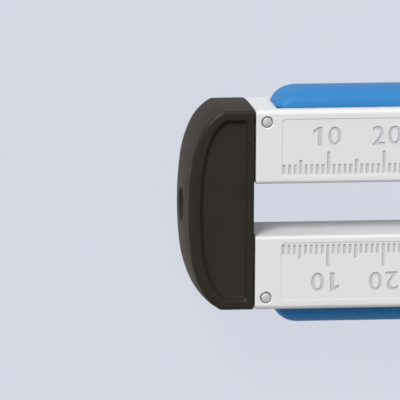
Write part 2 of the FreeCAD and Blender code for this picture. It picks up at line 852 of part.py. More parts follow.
def make_clamp_screws(side):
    screws = []
    for rise in (1, -1):
        name = prefix(side) + "screw_" + ("top" if rise > 0 else "bottom")
        seat = {
            "Placement.Base.x": "sizes.clamp_front",
            "Placement.Base.y": signed(side, "sizes.screw_side"),
            "Placement.Base.z": signed(rise, "sizes.screw_rise"),
        }
        shank = primitive("Cylinder", name + "_shank", {
            "Radius": "sizes.screw_radius", "Height": "sizes.screw_length", **seat,
        }, quarter_turn_y)
        head = primitive("Cone", name + "_head", {
            "Radius1": "sizes.screw_head_radius",
            "Radius2": "sizes.screw_radius",
            "Height": "sizes.screw_head_radius - sizes.screw_radius",
            **seat,
        }, quarter_turn_y)
        socket = primitive("Prism", name + "_socket", {
            "Circumradius": "sizes.socket_radius", "Height": "sizes.socket_depth", **seat,
        }, quarter_turn_y)
        screws.append(cut(name, fuse(name + "_blank", shank, head), socket))
    group(prefix(side) + "clamp_screws", screws)


def make_inserts(side):
    inserts = []
    for rise in (1, -1):
        name = prefix(side) + "insert_" + ("top" if rise > 0 else "bottom")
        seat = {
            "Height": "sizes.insert_length",
            "Placement.Base.x": "sizes.tongue_front",
            "Placement.Base.y": signed(side, "sizes.screw_side"),
            "Placement.Base.z": signed(rise, "sizes.screw_rise"),
        }
        sleeve = primitive("Cylinder", name + "_sleeve", {
            "Radius": "sizes.insert_radius", **seat,
        }, quarter_turn_y)
        bore = primitive("Cylinder", name + "_bore", {
            "Radius": "sizes.screw_radius + sizes.insert_play", **seat,
        }, quarter_turn_y)
        inserts.append(cut(name, sleeve, bore))
    group(prefix(side) + "screw_inserts", inserts)


def make_spring_cup(side):
    name = prefix(side) + "cup"
    shell = primitive("Cylinder", name + "_shell", {
        "Radius": "sizes.cup_radius",
        "Height": "sizes.cup_depth",
        "Placement.Base.x": "sizes.spring_x",
        "Placement.Base.y": "sizes.gap_half" if side > 0 else "-sizes.gap_half - sizes.cup_depth",
    }, quarter_turn_x)
    bore = primitive("Cylinder", name + "_bore", {
        "Radius": "sizes.cup_radius - sizes.cup_wall",
        "Height": "sizes.cup_depth - sizes.cup_wall",
        "Placement.Base.x": "sizes.spring_x",
        "Placement.Base.y": "sizes.gap_half" if side > 0 else "-sizes.spring_seat",
    }, quarter_turn_x)
    finish_piece(cut(name, shell, bore), prefix(side) + "spring_cup")


# The spring stands between the floors of its two cups
def make_spring():
    height = 2 * (spring_seat - size["spring_play"]) - size["spring_wire"]
    helix = doc.addObject("Part::Helix", "spring_line")
    helix.setExpression("Radius", "sizes.spring_mean_radius")
    helix.setExpression(
        "Height", "2 * (sizes.spring_seat - sizes.spring_play) - sizes.spring_wire"
    )
    helix.Pitch = height / size["spring_turns"]
    wire = doc.addObject("Part::Circle", "spring_wire_section")
    wire.setExpression("Radius", "sizes.spring_wire / 2")
    wire.Placement = FreeCAD.Placement(
        FreeCAD.Vector(size["spring_mean_radius"], 0, 0), FreeCAD.Rotation(FreeCAD.Vector(1, 0, 0), 90)
    )
    coil = doc.addObject("Part::Sweep", "return_spring")
    coil.Sections = [wire]
    coil.Spine = (helix, ["Edge1"])
    coil.Solid = True
    coil.Frenet = True
    coil.Placement = FreeCAD.Placement(FreeCAD.Vector(spring_x, -height / 2, 0), quarter_turn_x)
    finish_piece(coil, "return_spring")


def make_hinge_pin():
    body = new_body("hinge_pin")
    top = half_thickness - size["pin_sink"]
    neck = top - size["pin_head_thick"]
    floor = size["clip_sink"] - half_thickness
    groove_low = floor - size["clip_thick"]
    end = -half_thickness + size["pin_sink"]
    radius = size["pin_radius"]
    inner = radius - size["clip_groove"]
    bevel = size["pin_chamfer"]
    profile = outline((0.0, top), [
        ((size["pin_head_radius"] - bevel, top),),
        ((size["pin_head_radius"], top - bevel),),
        ((size["pin_head_radius"], neck),),
        ((radius, neck),),
        ((radius, floor),),
        ((inner, floor),),
        ((inner, groove_low),),
        ((radius, groove_low),),
        ((radius, end),),
        ((0.0, end),),
        ((0.0, top),),
    ])
    sketch = add_sketch(body, "pin_section", profile, "XZ_Plane")
    turned = body.newObject("PartDesign::Revolution", "pin_turned")
    turned.Profile = sketch
    turned.ReferenceAxis = (sketch, ["V_Axis"])
    turned.Angle = 360
    body.setExpression("Placement.Base.x", "sizes.hinge_x")
    doc.recompute()


def ring(name, outer, inner, height, low):
    seat = {"Height": height, "Placement.Base.x": "sizes.hinge_x", "Placement.Base.z": low}
    disc = primitive("Cylinder", name + "_disc", {"Radius": outer, **seat})
    bore = primitive("Cylinder", name + "_bore", {"Radius": inner, **seat})
    return cut(name, disc, bore)


def make_hinge_hardware():
    bush = ring(
        "bush",
        "sizes.pin_radius + sizes.bush_play + sizes.bush_wall",
        "sizes.pin_radius + sizes.bush_play",
        "sizes.knuckle_height",
        "-sizes.knuckle_half",
    )
    finish_piece(bush, "hinge_bush")
    washers = []
    for side in (1, -1):
        low = "sizes.knuckle_half + sizes.washer_play" if side > 0 else "sizes.washer_play - sizes.fork_half"
        washers.append(ring(
            prefix(side) + "washer",
            "sizes.washer_radius",
            "sizes.pin_radius + sizes.bush_play",
            "sizes.washer_thick",
            low,
        ))
    group("hinge_washers", washers)
    clip_low = "sizes.clip_sink - sizes.half_thickness - sizes.clip_thick"
    clip = ring(
        "clip",
        "sizes.clip_radius",
        "sizes.pin_radius - sizes.clip_groove + sizes.pin_play",
        "sizes.clip_thick - sizes.pin_play",
        clip_low,
    )
    mouth = primitive("Box", "clip_mouth_cut", {
        "Length": "sizes.clip_radius",
        "Width": "sizes.clip_mouth",
        "Height": "sizes.clip_thick",
        "Placement.Base.x": "sizes.hinge_x",
        "Placement.Base.y": "-sizes.clip_mouth / 2",
        "Placement.Base.z": clip_low,
    })
    finish_piece(cut("clip_open", clip, mouth), "hinge_clip")


make_head()
make_guide_bush()
for side in (1, -1):
    make_arm(side)
    make_grip(side)
    make_dowel(side)
    make_blade(side)
    make_clamp(side)
    make_clamp_screws(side)
    make_inserts(side)
    make_spring_cup(side)
make_spring()
make_hinge_pin()
make_hinge_hardware()
doc.recompute()

# Nothing is written unless every object is sound
for item in doc.Objects:
    if "Invalid" in item.State or "Error" in item.State:
        raise ValueError(f"{item.Name} failed: {item.State}")
for piece in pieces:
    if piece.Shape.isNull() or not piece.Shape.isValid() or not piece.Shape.Solids:
        raise ValueError(piece.Label + " has no sound shape")

os.makedirs("parts", exist_ok=True)
for piece in pieces:
    piece.Shape.exportStep("parts/" + piece.Label + ".step")
    print(piece.Label, len(piece.Shape.Solids), round(piece.Shape.Volume, 2))
print("squeeze range, degrees:", round(math.degrees(2 * half_angle), 4))
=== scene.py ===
import math
import bpy
from mathutils import Matrix, Vector


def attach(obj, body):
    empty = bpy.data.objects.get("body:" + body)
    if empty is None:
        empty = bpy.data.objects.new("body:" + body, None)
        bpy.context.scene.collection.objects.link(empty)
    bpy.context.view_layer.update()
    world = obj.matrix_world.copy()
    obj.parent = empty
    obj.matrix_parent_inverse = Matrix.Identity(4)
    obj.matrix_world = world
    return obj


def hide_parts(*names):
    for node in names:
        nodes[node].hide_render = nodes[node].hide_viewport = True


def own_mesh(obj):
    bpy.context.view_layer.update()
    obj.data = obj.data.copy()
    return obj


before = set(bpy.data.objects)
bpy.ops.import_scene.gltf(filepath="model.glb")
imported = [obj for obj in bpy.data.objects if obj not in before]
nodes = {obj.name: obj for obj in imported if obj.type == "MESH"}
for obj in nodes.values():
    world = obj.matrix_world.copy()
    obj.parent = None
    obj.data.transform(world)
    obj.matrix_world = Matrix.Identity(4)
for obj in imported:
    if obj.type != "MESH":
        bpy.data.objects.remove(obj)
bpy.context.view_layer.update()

mm = 0.001
tiny = 0.001 * mm  # points nearer than this are one point


def clearAll():
    if bpy.context.object and bpy.context.object.mode != "OBJECT":
        bpy.ops.object.mode_set(mode="OBJECT")
    bpy.ops.object.select_all(action="DESELECT")


def only(*pieces):  # selects these pieces, the first one active
    clearAll()
    for piece in pieces:
        piece.select_set(True)
    bpy.context.view_layer.objects.active = pieces[0]


def editAll(piece):
    only(piece)
    bpy.ops.object.mode_set(mode="EDIT")
    bpy.ops.mesh.select_mode(type="VERT")
    bpy.ops.mesh.select_all(action="SELECT")


def pick(piece, kind, test):  # in edit mode: selects the vertices, edges or faces that pass the test
    bpy.ops.mesh.select_mode(type=kind)
    bpy.ops.mesh.select_all(action="DESELECT")
    bpy.ops.object.mode_set(mode="OBJECT")
    mesh = piece.data
    for item in {"VERT": mesh.vertices, "EDGE": mesh.edges, "FACE": mesh.polygons}[kind]:
        item.select = bool(test(item))
    bpy.ops.object.mode_set(mode="EDIT")


def ends(piece, edge):  # an edge's two ends in mm
    return [piece.data.vertices[number].co / mm for number in edge.vertices]


def drawFrom(name, x, y, z=0.0):  # one loose vertex, to draw a line from; stays in edit mode
    clearAll()
    bpy.ops.mesh.primitive_plane_add(size=mm, location=(x * mm, y * mm, z * mm))
    piece = bpy.context.object
    piece.name = name
    bpy.ops.object.mode_set(mode="EDIT")
    bpy.ops.mesh.select_mode(type="VERT")
    bpy.ops.mesh.select_all(action="SELECT")
    bpy.ops.mesh.merge(type="CENTER")
    return piece


def drawBy(x, y, z=0.0):
    bpy.ops.mesh.extrude_region_move(TRANSFORM_OT_translate={"value": (x * mm, y * mm, z * mm)})


def drawArc(x, y, degrees, steps):  # turns the line's end about a centre, counter-clockwise from above
    angle = -math.radians(degrees)
    bpy.ops.mesh.spin(steps=steps, angle=angle, center=(x * mm, y * mm, 0), axis=(0, 0, 1))


def fillUp(height):  # makes a plate of the closed line in edit mode
    bpy.ops.mesh.edge_face_add()
    drawBy(0, 0, height)


def addBox(middle, size):  # in mm; the box is edited on from here
    clearAll()
    bpy.ops.mesh.primitive_cube_add(
        size=1,
        location=[value * mm for value in middle],
        scale=[value * mm for value in size],
    )
    piece = bpy.context.object
    settle(piece)
    editAll(piece)
    return piece


def shift(x=0.0, y=0.0, z=0.0):
    bpy.ops.transform.translate(value=(x * mm, y * mm, z * mm))


def settle(piece):  # back to object mode, with the place in the mesh
    only(piece)
    bpy.ops.object.transform_apply(location=True, rotation=True, scale=True)


def heal(piece):
    editAll(piece)
    bpy.ops.mesh.remove_doubles(threshold=tiny)
    bpy.ops.mesh.normals_make_consistent(inside=False)
    settle(piece)


def lathe(name, points, steps=48):  # points are (radius, height) in mm, turned about the Z axis
    piece = drawFrom(name, points[0][0], 0, points[0][1])
    for last, point in zip(points, points[1:]):
        drawBy(point[0] - last[0], 0, point[1] - last[1])
    bpy.ops.mesh.select_all(action="SELECT")
    bpy.ops.mesh.spin(steps=steps, angle=math.tau, center=(0, 0, 0), axis=(0, 0, 1))
    heal(piece)
    return piece


def moveMesh(piece, x=0.0, y=0.0, z=0.0):
    editAll(piece)
    shift(x, y, z)
    settle(piece)


def turnMesh(piece, degrees, axis):
    only(piece)
    piece.rotation_euler = [math.radians(degrees) if letter == axis else 0.0 for letter in "XYZ"]
    settle(piece)


def modify(piece, kind, **settings):
    only(piece)
    modifier = piece.modifiers.new(kind.lower(), kind)
    for name, value in settings.items():
        setattr(modifier, name, value)
    bpy.ops.object.modifier_apply(modifier=modifier.name)


def combine(piece, other, how="DIFFERENCE", **settings):
    modify(piece, "BOOLEAN", object=other, operation=how, solver="EXACT", **settings)
    bpy.data.objects.remove(other)


def twin(piece, name, mirrorY=False):  # a copy with its own mesh, on the other side when asked
    copy = bpy.data.objects.new(name, piece.data.copy())
    bpy.context.collection.objects.link(copy)
    if mirrorY:
        copy.scale = (1, -1, 1)
        settle(copy)
        heal(copy)  # a mirrored mesh is inside out until its normals are made anew
    return copy


def smooth(piece, degrees=35, weighted=False):
    only(piece)
    bpy.ops.object.shade_smooth_by_angle(angle=math.radians(degrees))
    if weighted:
        modify(piece, "WEIGHTED_NORMAL", keep_sharp=True, weight=80)


def paint(piece, *materials):
    piece.data.materials.clear()
    for material in materials:
        piece.data.materials.append(material)


def standFor(piece, node, body):  # the piece is shown in the node's place
    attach(piece, body)
    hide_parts(node)


def hexColour(code):  # sRGB hex to linear
    parts = [int(code[place:place + 2], 16) / 255 for place in (1, 3, 5)]
    linear = [part / 12.92 if part <= 0.04045 else ((part + 0.055) / 1.055) ** 2.4 for part in parts]
    return (*linear, 1.0)


def dimmed(colour, share):
    return tuple(part * share for part in colour[:3]) + (1.0,)


def addNode(tree, kind, inputs=None, **settings):
    made = tree.nodes.new("ShaderNode" + kind)
    for name, value in settings.items():
        setattr(made, name, value)
    for name, value in (inputs or {}).items():
        if isinstance(value, bpy.types.NodeSocket):
            tree.links.new(value, made.inputs[name])
        else:
            made.inputs[name].default_value = value
    return made


def newMaterial(name):
    material = bpy.data.materials.new(name)
    material.use_nodes = True
    tree = material.node_tree
    shader = tree.nodes["Principled BSDF"]
    return material, tree, shader


def ramp(tree, value, stops):  # stops are (position, grey)
    made = addNode(tree, "ValToRGB", {"Fac": value})
    for cell, (position, grey) in zip(made.color_ramp.elements, stops):
        cell.position = position
        cell.color = (grey, grey, grey, 1.0)
    return made.outputs["Color"]


def halfHeight(tree, place):  # how far above or below the middle plane
    height = addNode(tree, "SeparateXYZ", {"Vector": place}).outputs["Z"]
    return addNode(tree, "Math", {0: height}, operation="ABSOLUTE").outputs["Value"]


# What all moulded pieces share: a slightly cloudy colour with painted shade in its corners and hollows, and a
# fine grain.
def mouldedSkin(name, look, deep, plain):
    material, tree, shader = newMaterial(name)
    place = addNode(tree, "TexCoord").outputs["Object"]
    grain = addNode(tree, "TexNoise", {
        "Vector": place, "Scale": 1 / (look["grain"] * mm), "Detail": 3.0, "Roughness": look["rugged"],
    })
    cloud = addNode(tree, "TexNoise", {"Vector": place, "Scale": 1 / (look["cloud"] * mm), "Detail": 2.0})
    tone = addNode(tree, "Mix", {0: cloud.outputs["Fac"], 6: deep, 7: plain}, data_type="RGBA")
    # painted shade: the colour is darkened where ambient occlusion finds the place closed in
    corner = addNode(tree, "AmbientOcclusion", {"Distance": look["corner"] * mm}, samples=12)
    shade = ramp(tree, corner.outputs["AO"], look["shade"])
    colour = addNode(
        tree, "Mix", {0: 1.0, 6: tone.outputs[2], 7: shade}, data_type="RGBA", blend_type="MULTIPLY",
    )
    tree.links.new(colour.outputs[2], shader.inputs["Base Color"])
    return material, tree, shader, place, grain.outputs["Fac"]


# Polyamide 66 with glass fibre, injection moulded in a spark-eroded mould: near black with a warm
# cast, a dry sheen, and a fine even grain. The real grain is about 0.05 mm; drawn at 0.25 mm to show.
def mouldedNylon():
    look = {
        "deep": "#26231E",
        "plain": "#2E2A25",
        "cloud": 6.0,
        "grain": 0.25,
        "rugged": 0.6,
        "corner": 3.0,  # mm that the painted shade in corners reaches
        "shade": [(0.2, 0.6), (0.95, 1.0)],  # how open the place is, and how bright the painted shade leaves it then
        "wall": 0.66,  # roughness of the walls and the sunk fields
        "face": 0.37,  # and of the rims, which the mould's smoother face makes
        "finish": (7.45, 7.85),  # mm from the middle plane, where one turns to the other
        "patchy": (-0.06, 0.1),
        "bump": 0.35,
        "sheen": "#FFE6C4",
    }
    deep, plain = hexColour(look["deep"]), hexColour(look["plain"])
    material, tree, shader, place, grain = mouldedSkin("glass filled nylon, moulded", look, deep, plain)
    finish = addNode(tree, "MapRange", {
        "Value": halfHeight(tree, place),
        "From Min": look["finish"][0] * mm, "From Max": look["finish"][1] * mm,
        "To Min": look["wall"], "To Max": look["face"],
    })
    low, high = look["patchy"]
    patchy = addNode(tree, "MapRange", {"Value": grain, "To Min": low, "To Max": high})
    rough = addNode(tree, "Math", {0: finish.outputs["Result"], 1: patchy.outputs["Result"]}, operation="ADD")
    tree.links.new(rough.outputs["Value"], shader.inputs["Roughness"])
    bump = addNode(tree, "Bump", {"Height": grain, "Strength": look["bump"], "Distance": 0.02 * mm})
    tree.links.new(bump.outputs["Normal"], shader.inputs["Normal"])
    shader.inputs["IOR"].default_value = 1.53
    shader.inputs["Specular IOR Level"].default_value = 0.18
    shader.inputs["Specular Tint"].default_value = hexColour("#FFF2E2")
    shader.inputs["Sheen Weight"].default_value = 0.05
    shader.inputs["Sheen Roughness"].default_value = 0.4
    shader.inputs["Sheen Tint"].default_value = hexColour(look["sheen"])
    return material


# ABS, injection moulded and lightly spark-grained: light grey, satin, slightly soft at the edges, with
# a parting line round the middle of the sides. The grain is 0.08 mm; drawn at 0.3 mm to show.
def mouldedAbs(name="ABS, moulded", code="#E0DFE0"):
    look = {
        "cloudy": 0.985,
        "cloud": 9.0,
        "grain": 0.3,
        "rugged": 0.55,
        # reach in mm and brightness steps of the painted shade in corners
        "corner": 0.7,
        "shade": [(0.2, 0.88), (0.7, 1.0)],
        "roughness": (0.41, 0.54),
        "parting": 0.06,  # half the line's width
        "bump": 0.2,
    }
    plain = hexColour(code)
    deep = dimmed(plain, look["cloudy"])
    material, tree, shader, place, grain = mouldedSkin(name, look, deep, plain)
    low, high = look["roughness"]
    rough = addNode(tree, "MapRange", {"Value": grain, "To Min": low, "To Max": high})
    tree.links.new(rough.outputs["Result"], shader.inputs["Roughness"])
    line = addNode(tree, "MapRange", {
        "Value": halfHeight(tree, place),
        "From Min": 0.0, "From Max": look["parting"] * mm, "To Min": 1.0, "To Max": 0.0,
    })
    raised = addNode(tree, "Bump", {"Height": line.outputs["Result"], "Strength": 0.5, "Distance": 0.03 * mm})
    bump = addNode(tree, "Bump", {
        "Height": grain, "Strength": look["bump"], "Distance": 0.015 * mm, "Normal": raised.outputs["Normal"],
    })
    tree.links.new(bump.outputs["Normal"], shader.inputs["Normal"])
    shader.inputs["IOR"].default_value = 1.54
    return material


# Thermoplastic elastomer, moulded onto the arms: strong blue, soft broad sheen, very fine matt grain.
# The grain is 0.1 mm; drawn at 0.35 mm to show.
def mouldedElastomer():
    look = {
        "deep": "#2778B4",
        "plain": "#2C7FBD",
        "cloud": 8.0,
        "grain": 0.35,
        "rugged": 0.6,
        # reach in mm and brightness steps of the painted shade in corners
        "corner": 1.2,
        "shade": [(0.3, 0.5), (0.8, 1.0)],
        "roughness": (0.47, 0.62),
        "bump": 0.25,
    }
    deep, plain = hexColour(look["deep"]), hexColour(look["plain"])
    material, tree, shader, place, grain = mouldedSkin("thermoplastic elastomer, moulded", look, deep, plain)
    low, high = look["roughness"]
    rough = addNode(tree, "MapRange", {"Value": grain, "To Min": low, "To Max": high})
    tree.links.new(rough.outputs["Result"], shader.inputs["Roughness"])
    bump = addNode(tree, "Bump", {"Height": grain, "Strength": look["bump"], "Distance": 0.02 * mm})
    tree.links.new(bump.outputs["Normal"], shader.inputs["Normal"])
    shader.inputs["IOR"].default_value = 1.5
    shader.inputs["Specular IOR Level"].default_value = 0.32
    return material


# Metals differ by colour and by how the surface was made: lines along one axis for ground and turned
# faces, an even mottle for stamped, drawn and plated ones. Real tool marks of 0.02 mm are drawn at
# 0.1 mm or more. Marks and patch are sizes in mm; spread draws the marks out along an axis below 1.
def metal(name, code, roughness, marks, spread=(1.0, 1.0, 1.0), patch=2.5):
    look = {"stain": 0.82, "smoother": 0.08, "rougher": 0.12, "bump": 0.3, "depth": 0.01}
    material, tree, shader = newMaterial(name)
    place = addNode(tree, "TexCoord").outputs["Object"]
    along = addNode(tree, "Mapping", {"Vector": place, "Scale": spread})
    lines = addNode(tree, "TexNoise", {
        "Vector": along.outputs["Vector"], "Scale": 1 / (marks * mm), "Detail": 4.0, "Roughness": 0.6,
    })
    stain = addNode(tree, "TexNoise", {"Vector": place, "Scale": 1 / (patch * mm), "Detail": 3.0})
    plain = hexColour(code)
    deep = dimmed(plain, look["stain"])
    tone = addNode(tree, "Mix", {0: stain.outputs["Fac"], 6: deep, 7: plain}, data_type="RGBA")
    tree.links.new(tone.outputs[2], shader.inputs["Base Color"])
    shader.inputs["Metallic"].default_value = 1.0
    rough = addNode(tree, "MapRange", {
        "Value": lines.outputs["Fac"],
        "To Min": roughness - look["smoother"], "To Max": roughness + look["rougher"],
    })
    tree.links.new(rough.outputs["Result"], shader.inputs["Roughness"])
    bump = addNode(tree, "Bump", {
        "Height": lines.outputs["Fac"], "Strength": look["bump"], "Distance": look["depth"] * mm,
    })
    tree.links.new(bump.outputs["Normal"], shader.inputs["Normal"])
    return material


nylon = mouldedNylon()
plainAbs = mouldedAbs()
# a darker grey for the marks' floors: painted shade in the sunken marks
paintedShadeMarkAbs = mouldedAbs("ABS, painted shade in the marks", "#C4C4C8")
elastomer = mouldedElastomer()
pinSteel = metal("steel, ground", "#B4B3B1", 0.34, 0.1)  # even and fairly bright
dowelSteel = metal("steel, ground, ends tumbled", "#E6E5E4", 0.66, 0.25, patch=0.5)  # pale, matt ends
bladeSteel = metal("tool steel, hardened and honed", "#C9CBCE", 0.22, 0.1, (0.1, 1.0, 1.0))  # bright lines
bushSteel = metal("steel, turned", "#BDBDBF", 0.3, 0.1, (1.0, 0.1, 0.1))  # fine rings round the bore
clampSteel = metal("spring steel, stamped", "#A9AAAD", 0.38, 0.3)  # greyer, with a soft mottle
screwSteel = metal("steel, zinc plated", "#B9BBC0", 0.32, 0.2)  # cool and slightly cloudy
cupSteel = metal("steel, deep drawn", "#C2C3C7", 0.28, 0.1, (1.0, 0.1, 1.0))  # drawn along its axis
wireSteel = metal("spring wire, drawn", "#A8AAAE", 0.3, 0.1)  # smooth, with fine die marks
washerSteel = metal("steel, stamped and tumbled", "#BFC0C3", 0.36, 0.3)  # dulled all over
clipSteel = metal("spring steel, blued", "#55585F", 0.35, 0.3)  # dark blue grey
brass = metal("brass, turned", "#CBA45C", 0.28, 0.1, (0.1, 1.0, 1.0))  # warm, with fine lines
print("materials made")

studio = {
    "target": (-3.43, 2.06, 8.0),  # mm, what the middle of the picture looks at
    "away": 2500.0,
    "width": 71.2,  # mm across the picture
    "right": (0.99045, 0.007, 0.13652),
    "up": (0.01572, 0.98615, -0.16421),
    "sensor": 36.0,
    "clip": (0.1, 20.0),  # metres
    "table": 8.0,  # mm from the middle plane down to the floor
    "floor": "#D5D9E5",
    "board": "#D2D2D2",
    "key": (-0.36, 0.64, 0.68),
    "keyPower": 2.7,
    "keySpread": 22.0,
    "fill": 0.42,
    "tilt": 0.13,  # how much more of the fill comes from +Y than from the middle
    "shadow": 0.05,
}


def makeCamera():
    right = Vector(studio["right"]).normalized()
    up = Vector(studio["up"])
    up = (up - right * up.dot(right)).normalized()
    back = right.cross(up)
    lens = bpy.data.cameras.new("camera")
    camera = bpy.data.objects.new("camera", lens)
    bpy.context.scene.collection.objects.link(camera)
    lens.sensor_width = studio["sensor"]
    lens.lens = studio["sensor"] * studio["away"] / studio["width"]
    lens.clip_start, lens.clip_end = studio["clip"]
    spot = Vector(studio["target"]) * mm + back * studio["away"] * mm
    camera.matrix_world = Matrix.Translation(spot) @ Matrix((right, up, back)).transposed().to_4x4()
    bpy.context.scene.camera = camera


def makeFloor():  # seen as an even pale ground that keeps a trace of the shadow
    clearAll()
    bpy.ops.mesh.primitive_plane_add(size=6.0, location=(0, 0, -studio["table"] * mm))
    floor = bpy.context.object
    floor.name = "floor"
    material, tree, shader = newMaterial("matt board")
    shader.inputs["Base Color"].default_value = hexColour(studio["board"])
    shader.inputs["Roughness"].default_value = 0.9
    shader.inputs["Specular IOR Level"].default_value = 0.0
    glow = addNode(tree, "Emission", {"Color": hexColour(studio["floor"]), "Strength": 1.0})
    ray = addNode(tree, "LightPath")
    seen = addNode(
        tree, "Math", {0: ray.outputs["Is Camera Ray"], 1: ray.outputs["Is Glossy Ray"]}, operation="MAXIMUM",
    )
    share = addNode(tree, "Math", {0: seen.outputs["Value"], 1: 1.0 - studio["shadow"]}, operation="MULTIPLY")
    mixed = addNode(tree, "MixShader", {
        "Fac": share.outputs["Value"], 1: shader.outputs["BSDF"], 2: glow.outputs["Emission"],
    })
    tree.links.new(mixed.outputs["Shader"], tree.nodes["Material Output"].inputs["Surface"])
    floor.data.materials.append(material)


def makeLight():
    lamp = bpy.data.lights.new("key", "SUN")
    lamp.energy = studio["keyPower"]
    lamp.angle = math.radians(studio["keySpread"])
    key = bpy.data.objects.new("key", lamp)
    bpy.context.scene.collection.objects.link(key)
    key.rotation_mode = "QUATERNION"
    key.rotation_quaternion = Vector(studio["key"]).to_track_quat("Z", "Y")

    world = bpy.data.worlds.new("studio")
    bpy.context.scene.world = world
    world.use_nodes = True
    tree = world.node_tree
    fill = tree.nodes["Background"]
    fill.inputs["Color"].default_value = (1.0, 1.0, 1.0, 1.0)
    direction = addNode(tree, "TexCoord").outputs["Generated"]
    side = addNode(tree, "SeparateXYZ", {"Vector": direction}).outputs["Y"]
    level = addNode(tree, "MapRange", {
        "Value": side, "From Min": -1.0, "From Max": 1.0,
        "To Min": studio["fill"] - studio["tilt"], "To Max": studio["fill"] + studio["tilt"],
    })
    tree.links.new(level.outputs["Result"], fill.inputs["Strength"])
    seen = addNode(tree, "Background", {"Color": hexColour(studio["floor"]), "Strength": 1.0})
    ray = addNode(tree, "LightPath")
    mixed = addNode(tree, "MixShader", {
        "Fac": ray.outputs["Is Camera Ray"], 1: fill.outputs["Background"], 2: seen.outputs["Background"],
    })
    tree.links.new(mixed.outputs["Shader"], tree.nodes["World Output"].inputs["Surface"])
    bpy.context.scene.view_settings.view_transform = "Standard"


makeCamera()
makeFloor()
makeLight()
print("studio made")

head = {
    "rear": 6.3,
    "side": 18.3,  # at half height, where the crowned wall is widest
    "arcs": [  # centre x, centre y, degrees, steps, from the upper side round the nose
        (4.8664, 10.136, 7.48, 1),  # one long step, which the insets shorten
        (4.8664, 10.136, 28.9, 10),
        (14.8358, 5.4872, 17.996, 10),
        (59.5, 0.0, 14.008, 18),
        (14.8358, -5.4872, 17.996, 10),
        (4.8664, -10.136, 28.9, 10),
        (4.8664, -10.136, 7.48, 1),
    ],
    "start": 0.4118,
    "wall": [  # inset and rise: the crowned wall, with a witness line where the mould's inserts meet
        (0.02, 1.8), (0.05, 1.8), (0.06, 1.4), (0.03, 0.04), (0.05, 1.0), (0.09, 1.26),
    ],
    "round": 0.7,  # edge of the face
    "rim": 0.68,
    "noseRim": 0.4,  # how much wider the rim is at the nose
    "faceDeep": 9.4,  # from the field's straight side to the nose
    "strip": 0.77,
    "rimRound": 0.55,
    "fieldSlope": 55,  # degrees, how steep the field's wall is
    "fieldWall": (0.3, 0.46),
    "floorRound": 0.5,
    "sideCorner": 0.3,  # these three are bevels
    "fieldCorner": 0.4,
    "rearEdge": 0.1,
    "room": {"middle": (3.4, 0, 0), "size": (11.2, 23.3, 10.0), "round": 2.0},  # for the arms' tongues
    "boss": [(0.0, -2.6), (4.2, -2.6), (4.0, -2.2), (4.0, -1.2), (3.8, -1.0), (0.0, -1.0)],
    "bore": [  # radius and place along the tool: the funnel, its throat and the bush's seat
        (0.0, -6.2), (3.1, -6.2), (3.0, -5.7), (2.9, -5.5), (2.7, -5.3), (1.75, -4.1), (1.6, -3.21),
        (2.5, -3.2), (2.5, 1.0), (0.0, 1.0),
    ],
    "lug": {"x": 7.9, "y": 13.975, "size": (5.6, 3.15, 4.8), "round": 0.5},
    "fork": {  # the slot that runs on the dowel pin; half is half the height of what cuts it
        "x": 8.52, "end": 14.64, "open": 18.0, "radius": 1.15, "half": 4,
    },
}


def rounding(radius, steps=6, degrees=90):  # an arc as steps, first along and then across
    turns = [math.radians(degrees) * count / steps for count in range(steps + 1)]
    return [
        (radius * (math.sin(b) - math.sin(a)), radius * (math.cos(a) - math.cos(b)))
        for a, b in zip(turns, turns[1:])
    ]


